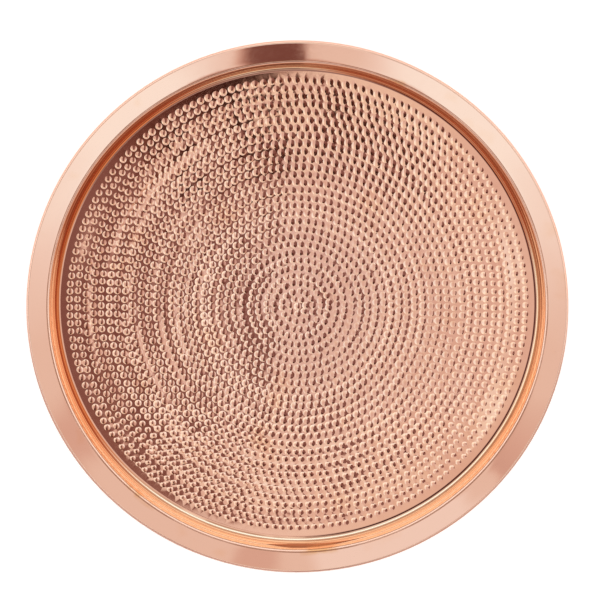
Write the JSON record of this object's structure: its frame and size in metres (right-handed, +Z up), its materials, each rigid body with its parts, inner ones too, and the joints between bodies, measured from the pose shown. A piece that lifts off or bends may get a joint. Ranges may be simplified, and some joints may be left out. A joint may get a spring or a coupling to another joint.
{
  "type": "round serving tray",
  "caption": "Round serving tray of hammered copper, with a flat floor, a short sloping wall, a flared flange and an edge rolled over a wire.",
  "frame": {"origin": "centre of the flat base, on the surface the tray stands on", "axes": "+Z up, along the axis the tray is turned about"},
  "size_m": [0.38, 0.38, 0.0158],
  "materials": {
    "copper": "polished, hand hammered",
    "steel_wire": "drawn, galvanised"
  },
  "bodies": {
    "root": {"tray_pan": "copper", "rim_wire": "steel_wire"}
  },
  "joints": []
}
